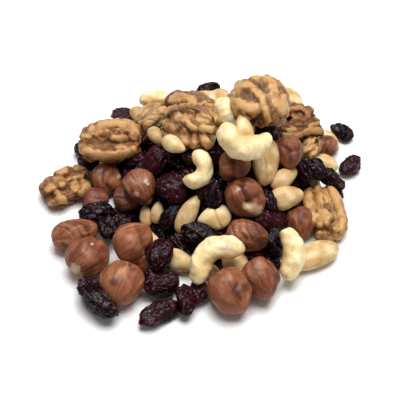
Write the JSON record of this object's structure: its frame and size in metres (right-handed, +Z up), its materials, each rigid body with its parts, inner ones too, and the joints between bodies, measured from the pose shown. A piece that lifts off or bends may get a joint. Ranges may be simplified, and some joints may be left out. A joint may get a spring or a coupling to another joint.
{
  "type": "heap of trail mix",
  "caption": "Loose heap of trail mix resting on a table: walnut halves, whole hazelnuts, cashews, blanched almonds and dark raisins.",
  "frame": {"origin": "middle of the area that the heap covers, at the table", "axes": "+Z up from the table; +X to the right and +Y away as the heap is usually looked at"},
  "size_m": [0.1498, 0.1347, 0.0545],
  "materials": {
    "trail_mix": "matt mix of nut kernels and raisins",
    "raisin": "wrinkled, slightly waxy",
    "walnut": "satin skin over a knobbly kernel",
    "hazelnut": "papery brown skin, satin",
    "cashew": "smooth, satin",
    "almond": "smooth blanched kernel, satin"
  },
  "bodies": {
    "root": {"trail_mix_heap": "trail_mix", "raisin_beside_1": "raisin", "raisin_beside_2": "raisin"}
  },
  "joints": []
}
